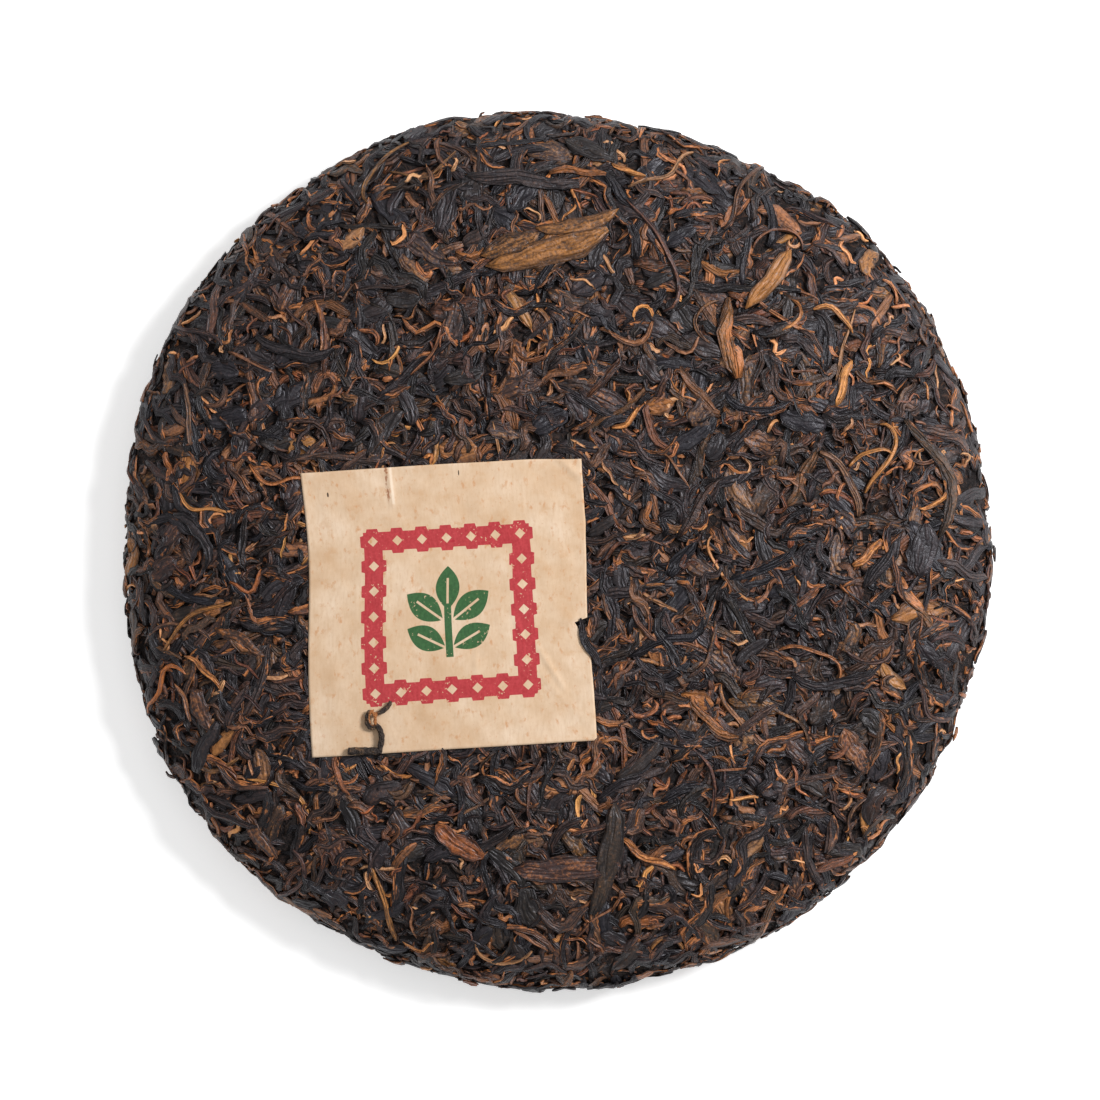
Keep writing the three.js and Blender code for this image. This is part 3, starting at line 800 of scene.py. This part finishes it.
# Stains of the paper: their noise, where in it they begin and are full, strength and colour
PAPER_STAINS = (
    ("spots", 0.54, 0.74, 0.45, linear(208, 163, 120)),
    ("rust", 0.56, 0.74, 0.75, linear(204, 145, 98)),
    ("fleck", 0.62, 0.78, 0.4, linear(190, 134, 90)),
    ("fibre", 0.42, 0.7, 0.38, linear(208, 174, 140)),
)

# A split that runs down from the top edge, and a painted highlight along the fold beside it
TEAR_PLACE = -12.0
TEAR_END = 23.5
TEAR_COLOUR = linear(158, 96, 60)
FOLD_PLACE = -11.0
FOLD_HIGHLIGHT = linear(243, 224, 203)

# Small dark holes and flecks in the paper: place, half length and half width
PAPER_SPECKS = (
    (-25.8, 26.4, 0.55, 0.22),
    (4.2, 29.4, 0.6, 0.14),
    (1.4, 14.6, 0.3, 0.62),
)
SPECK_COLOUR = linear(48, 34, 28)

# The two inks, each from its darkest to its lightest, and how well they cover
RED_INK = (linear(170, 40, 52), linear(196, 62, 72))
GREEN_INK = (linear(26, 82, 46), linear(52, 106, 62))
INK_COVER = 0.96


def feed(socket, value):
    """Gives a node's input a field, another node's output or a plain value."""
    if isinstance(value, Field):
        value = value.socket
    if isinstance(value, bpy.types.NodeSocket):
        socket.id_data.links.new(value, socket)
    else:
        socket.default_value = value


def feed_all(node, values):
    for name, value in values.items():
        feed(node.inputs[name], value)


class Field:
    """A value that changes over a surface, so that node maths reads as plain sums."""

    def __init__(self, socket):
        self.socket = socket
        self.tree = socket.id_data

    def math(self, operation, *others):
        node = self.tree.nodes.new("ShaderNodeMath")
        node.operation = operation
        for socket, value in zip(node.inputs, (self, *others)):
            feed(socket, value)
        return Field(node.outputs[0])

    __add__ = partialmethod(math, "ADD")
    __sub__ = partialmethod(math, "SUBTRACT")
    __mul__ = partialmethod(math, "MULTIPLY")
    abs = partialmethod(math, "ABSOLUTE")
    min = partialmethod(math, "MINIMUM")
    max = partialmethod(math, "MAXIMUM")

    def ramp(self, low, high):
        """0 below low, 1 above high and smooth between; the other way round where high is less."""
        node = self.tree.nodes.new("ShaderNodeMapRange")
        node.interpolation_type = "SMOOTHSTEP"
        down = high < low
        feed_all(node, {
            "Value": self, "From Min": min(low, high), "From Max": max(low, high),
            "To Min": int(down), "To Max": int(not down)})
        return Field(node.outputs["Result"])


def join_fields(x, y, z):
    """Three fields as one vector socket."""
    node = x.tree.nodes.new("ShaderNodeCombineXYZ")
    for socket, value in zip(node.inputs, (x, y, z)):
        feed(socket, value)
    return node.outputs[0]


def plane_fields(vector):
    """The first two coordinates of a vector socket."""
    split = vector.id_data.nodes.new("ShaderNodeSeparateXYZ")
    feed(split.inputs[0], vector)
    return Field(split.outputs["X"]), Field(split.outputs["Y"])


def uv_fields(tree, layer):
    uv = tree.nodes.new("ShaderNodeUVMap")
    uv.uv_map = layer
    return plane_fields(uv.outputs["UV"])


def noise_field(vector, scale, detail=2.0, roughness=0.5, distortion=0.0):
    node = vector.id_data.nodes.new("ShaderNodeTexNoise")
    feed_all(node, {
        "Vector": vector, "Scale": scale, "Detail": detail, "Roughness": roughness, "Distortion": distortion})
    return Field(node.outputs["Fac"])


def object_place(tree):
    return tree.nodes.new("ShaderNodeTexCoord").outputs["Object"]


def mix_colours(tree, share, first, second, blend="MIX"):
    """The first colour, going over to the second where share is 1. Either may be a socket or a colour."""
    node = tree.nodes.new("ShaderNodeMix")
    node.data_type = "RGBA"
    node.blend_type = blend
    feed(node.inputs["Factor"], share)
    sockets = [s for s in node.inputs if s.type == "RGBA"]
    for socket, value in zip(sockets, (first, second)):
        feed(socket, value)
    return [s for s in node.outputs if s.type == "RGBA"][0]


def colour_ramp(field, stops):
    node = field.tree.nodes.new("ShaderNodeValToRGB")
    elements = node.color_ramp.elements
    while len(elements) < len(stops):
        elements.new(1)
    for element, (place, colour) in zip(elements, stops):
        element.position = place
        element.color = colour
    feed(node.inputs["Fac"], field)
    return node.outputs["Color"]


def surface_group():
    """Shared grain of dry leaf: wrinkles along the leaf, a fibre pattern, and blotches."""
    group = bpy.data.node_groups.new("dry_leaf_grain", "ShaderNodeTree")
    for name in ("Seed", "Wrinkles across"):
        group.interface.new_socket(name=name, in_out="INPUT", socket_type="NodeSocketFloat")
    for name in ("Height", "Streak", "Blotch"):
        group.interface.new_socket(name=name, in_out="OUTPUT", socket_type="NodeSocketFloat")
    entry = group.nodes.new("NodeGroupInput")
    leave = group.nodes.new("NodeGroupOutput")
    u, v = uv_fields(group, "leaf_uv")
    seed = Field(entry.outputs["Seed"]) * 60
    across = v * Field(entry.outputs["Wrinkles across"])
    wrinkle = noise_field(join_fields(u * 1.1, across, seed), 1, 1.5, 0.5)
    fibre = noise_field(join_fields(u * 9, across * 3.4, seed + 9), 1, 2)
    streak = noise_field(join_fields(u * 2.2, across * 0.6, seed + 23), 1, 2) + (fibre - 0.5) * 0.7
    blotch = noise_field(object_place(group), 1500, 3, 0.66)
    height = (wrinkle - 0.5).abs().ramp(0, 0.13) + fibre * 0.36
    feed_all(leave, {"Height": height, "Streak": streak, "Blotch": blotch})
    return group


def new_material(name, roughness, specular):
    material = bpy.data.materials.new(name)
    material.use_nodes = True
    tree = material.node_tree
    shader = tree.nodes["Principled BSDF"]
    feed_all(shader, {"Roughness": roughness, "Specular IOR Level": specular})
    return material, tree, shader


def add_bump(shader, field, distance, strength):
    bump = field.tree.nodes.new("ShaderNodeBump")
    feed_all(bump, {"Distance": distance * MM, "Strength": strength, "Height": field})
    feed(shader.inputs["Normal"], bump.outputs["Normal"])


def leaf_material(name, grain, gilt_share, wrinkles, depth, stops):
    """Dry leaf: its own tone and tint, painted shade in its grooves and towards its two sides, ridges lighter
    as wear and as painted light, and a gilt edge on some.
    """
    material, tree, shader = new_material(name, 0.5, 0.48)
    attribute = tree.nodes.new("ShaderNodeAttribute")
    attribute.attribute_name = "leaf_tones"
    split = tree.nodes.new("ShaderNodeSeparateColor")
    feed(split.inputs[0], attribute.outputs["Color"])
    tone, gilt, seed = (Field(split.outputs[n]) for n in range(3))
    edge = Field(attribute.outputs["Alpha"])
    use = tree.nodes.new("ShaderNodeGroup")
    use.node_tree = grain
    feed_all(use, {"Wrinkles across": wrinkles, "Seed": seed})
    height, streak, blotch = (Field(use.outputs[n]) for n in ("Height", "Streak", "Blotch"))
    patchy = (blotch - 0.5) * BLOTCH_SHARE + (streak - 0.5) * STREAK_SHARE + (height - 1.0) * GROOVE_SHARE
    change = tone * (LIGHT_CHANGE - DARK_CHANGE) + DARK_CHANGE
    shade = (tone + patchy * change).min(1).max(0)
    plain = colour_ramp(shade, shades(*stops))
    base = mix_colours(tree, 1.0, plain, colour_ramp(seed, TINTS), "MULTIPLY")
    # Painted shade: a leaf darkens to near-black towards its two sides, where shade falls between the leaves
    shadowed = (edge - 0.5).abs().ramp(0.2, 0.5) * SIDE_SHADE
    side_shaded = mix_colours(tree, shadowed, base, GROOVE_SHADE)
    gilded = (streak * 0.7 + edge * 0.4 + gilt * gilt_share).ramp(0.96, 1.12)
    coloured = mix_colours(tree, gilded, side_shaded, GILT)
    # Painted shade: the leaf goes to near-black in the grooves of its wrinkles, less on a light leaf
    deep = (height + tone * tone * 0.3).ramp(0.2, 0.62) * depth + (1 - depth)
    ink_wear_and_groove_shade = mix_colours(tree, deep, GROOVE_SHADE, coloured)
    feed_all(shader, {"Base Color": ink_wear_and_groove_shade, "Roughness": blotch * 0.5 + 0.17, "Specular Tint": SHEEN})
    add_bump(shader, height + blotch * 0.6, 0.45, depth)
    return material


def core_material():
    """Crushed leaf in curled streaks, darker than the leaves as painted shade where it shows in the gaps."""
    material, tree, shader = new_material("packed_leaf_dust_and_gap_shade", 0.75, 0.3)
    streaks = noise_field(object_place(tree), 420, 5, 0.62, 2.5)
    feed(shader.inputs["Base Color"], colour_ramp(streaks, CORE_SHADES))
    add_bump(shader, streaks, 2.0, 1.0)
    return material


def stem_material():
    """Dark bark, lighter and orange in the curl."""
    material, tree, shader = new_material("dry_stem", 0.6, 0.3)
    place = object_place(tree)
    blotch = noise_field(place, 900, 3)
    bark = noise_field(place, 2600, 2)
    x, y = (field * (1 / MM) - middle for field, middle in zip(plane_fields(place), LOOP_MIDDLE))
    near_loop = (x * x + y * y * 0.3).ramp(1.35, 0.8)
    share = near_loop * (blotch * 0.4 + 0.6)
    colour = mix_colours(tree, share, colour_ramp(blotch, BARK_SHADES), LOOP_COLOUR)
    feed(shader.inputs["Base Color"], colour)
    add_bump(shader, bark + blotch * 0.6, 0.8, 1.0)
    return material


def printed_border(u, v):
    """A broad square band with small steps along its outer edge and a row of open diamonds."""
    far = u.abs().max(v.abs())
    near = u.abs().min(v.abs())
    along = near.math("PINGPONG", BAND_STEP)
    step = along.ramp(BAND_STEP * 0.52, BAND_STEP * 0.42)
    outer = (far - BAND_OUTER - step * BAND_TOOTH).ramp(INK_EDGE, -INK_EDGE)
    inner = (far - BAND_INNER + step * BAND_TOOTH).ramp(-INK_EDGE, INK_EDGE)
    across = (far - (BAND_OUTER + BAND_INNER) / 2).abs()
    open_diamond = (along + across).ramp(DIAMOND - 0.08, DIAMOND + 0.08)
    return outer * inner * open_diamond


def printed_leaf(u, v, middle, angle, length, width):
    """A pointed leaf with a bare midrib."""
    du, dv = u - middle[0], v - middle[1]
    along = du * math.cos(angle) + dv * math.sin(angle)
    across = (dv * math.cos(angle) - du * math.sin(angle)).abs()
    share = along * (2 / length)
    edge = (share * share * -1 + 1) * (width / 2)
    body = (edge - across).ramp(-INK_EDGE, INK_EDGE)
    rib = across.ramp(0.2, 0.32).max((along - length * 0.22).ramp(-0.1, 0.1))
    return body * rib


def printed_sprig(u, v):
    """A stem with a bud at its tip and two pairs of leaves, alike on both sides."""
    side = u.abs()
    stem = side.ramp(SPRIG_STEM + 0.05, SPRIG_STEM - 0.05)
    sprig = stem * (v - SPRIG_FOOT).ramp(-0.1, 0.1) * (v - SPRIG_TOP).ramp(0.1, -0.1)
    for middle, heading, length, width in SPRIG_LEAVES:
        sprig = sprig.max(printed_leaf(side, v, middle, math.radians(heading), length, width))
    return sprig


def aged_paper(tree, u, v, noises):
    """The paper's colour: clouds and stains, the split at its top edge with a painted highlight along the
    fold beside it, and a few dark specks.
    """
    paper = colour_ramp(noises["cloud"], PAPER_SHADES)
    for name, low, high, share, colour in PAPER_STAINS:
        paper = mix_colours(tree, noises[name].ramp(low, high) * share, paper, colour)
    jag = (noises["fleck"] - 0.5) * 1.1
    above = (v - TEAR_END).ramp(-0.3, 0.3)
    torn = (u - TEAR_PLACE + jag).abs().ramp(0.4, 0.15) * (noises["spots"] - 0.5).ramp(-0.12, 0.02)
    paper = mix_colours(tree, torn * above * 0.8, paper, TEAR_COLOUR)
    # Painted highlight: a light line along the fold beside the split
    lit = (u - FOLD_PLACE + jag * 0.3).abs().ramp(0.5, 0.1)
    paper = mix_colours(tree, lit * above * 0.7, paper, FOLD_HIGHLIGHT)
    for x, y, long, wide in PAPER_SPECKS:
        hole = ((u - x) * (1 / wide)).math("POWER", 2) + ((v - y) * (1 / long)).math("POWER", 2)
        paper = mix_colours(tree, hole.ramp(1.2, 0.7) * 0.9, paper, SPECK_COLOUR)
    return paper


def add_print(tree, paper, u, v, noises):
    """Lays the two inks of the print over the paper, worn off in places."""
    ink_wear_and_groove_shade = (noises["fleck"] * 0.6 + noises["spots"] * 0.5).ramp(0.71, 0.66)
    grain = (noises["fibre"] * 0.5 + noises["fleck"] * 0.5).ramp(0.3, 0.7)
    for shape, (dark, light) in ((printed_border(u, v), RED_INK), (printed_sprig(u, v), GREEN_INK)):
        ink = mix_colours(tree, grain, dark, light)
        paper = mix_colours(tree, shape * ink_wear_and_groove_shade * INK_COVER, paper, ink)
    return paper


def ticket_material():
    """Tea-stained paper with its two-colour print, a little worn."""
    material, tree, shader = new_material("stained_paper", 0.85, 0.2)
    u, v = ((field - 0.5) * TICKET_SIDE for field in uv_fields(tree, "ticket_uv"))
    noises = {}
    for name, (along, up, layer, *numbers) in PAPER_NOISES.items():
        noises[name] = noise_field(join_fields(u * along, v * up, layer), *numbers)
    paper = aged_paper(tree, u, v, noises)
    colour = add_print(tree, paper, u - PRINT_MIDDLE[0], v - PRINT_MIDDLE[1], noises)
    feed(shader.inputs["Base Color"], colour)
    add_bump(shader, noises["fibre"] + noises["fleck"] * 0.5, 0.05, 0.5)
    return material


def dress():
    """Builds every piece with its finish, and ties it to the frame."""
    grain = surface_group()
    core = packed_core()
    core.data.materials.append(core_material())
    pieces = [core]
    for leaves in lay_leaves():
        finish = leaf_material(leaves.name + "_finish", grain, *LEAF_FINISHES[leaves.name])
        leaves.data.materials.append(finish)
        pieces.append(leaves)
    for piece in pieces:
        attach(piece, "root")
        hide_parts("pressed_cake")
    ticket = paper_ticket()
    ticket.data.materials.append(ticket_material())
    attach(ticket, "root")
    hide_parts("paper_ticket")
    stem = curled_stem()
    stem.data.materials.append(stem_material())
    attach(stem, "root")
    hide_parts("curled_stem")


# The camera looks straight down, as the photograph does
FRAME_WIDTH = 246.4
FRAME_MIDDLE = (-1.7, 0.0)
FRAME_HEIGHT = 14.0  # where that width is measured
LENS = 150.0
SENSOR = 36.0

# The white floor and the sky
FLOOR_REACH = 3000.0
FLOOR_SHADE = (0.93, 0.93, 0.93, 1)
FLOOR_GLOW = 0.5
SKY_STRENGTH = 0.25


def place_camera():
    camera = bpy.data.cameras.new("camera")
    camera.lens = LENS
    camera.sensor_width = SENSOR
    camera.clip_end = 10
    holder = new_object("camera", camera)
    distance = FRAME_WIDTH * LENS / SENSOR
    holder.location = Vector((*FRAME_MIDDLE, FRAME_HEIGHT + distance)) * MM
    bpy.context.scene.camera = holder


def soft_light(name, place, size, power):
    """A square lamp that faces the cake."""
    lamp = bpy.data.lights.new(name, "AREA")
    lamp.size = size
    lamp.energy = power
    holder = new_object(name, lamp)
    holder.location = place
    holder.rotation_euler = (-Vector(place)).to_track_quat("-Z", "Y").to_euler()


def set_stage():
    """The white floor, the even sky and the two lamps."""
    bm = bmesh.new()
    bmesh.ops.create_grid(bm, x_segments=1, y_segments=1, size=FLOOR_REACH)
    floor = bm_object("floor", bm)
    material, _, shader = new_material("pale_floor", 0.9, 0.2)
    feed_all(shader, {
        "Base Color": FLOOR_SHADE, "Emission Color": WHITE, "Emission Strength": FLOOR_GLOW})
    floor.data.materials.append(material)
    world = bpy.data.worlds.new("studio")
    world.use_nodes = True
    feed_all(world.node_tree.nodes["Background"], {"Color": WHITE, "Strength": SKY_STRENGTH})
    bpy.context.scene.world = world
    soft_light("key_light", (0.6, 0.3, 0.68), 0.28, 9.2)
    soft_light("top_light", (-0.1, 0.3, 1.2), 1.2, 2.6)
    bpy.context.scene.view_settings.view_transform = "Standard"


place_camera()
set_stage()
dress()
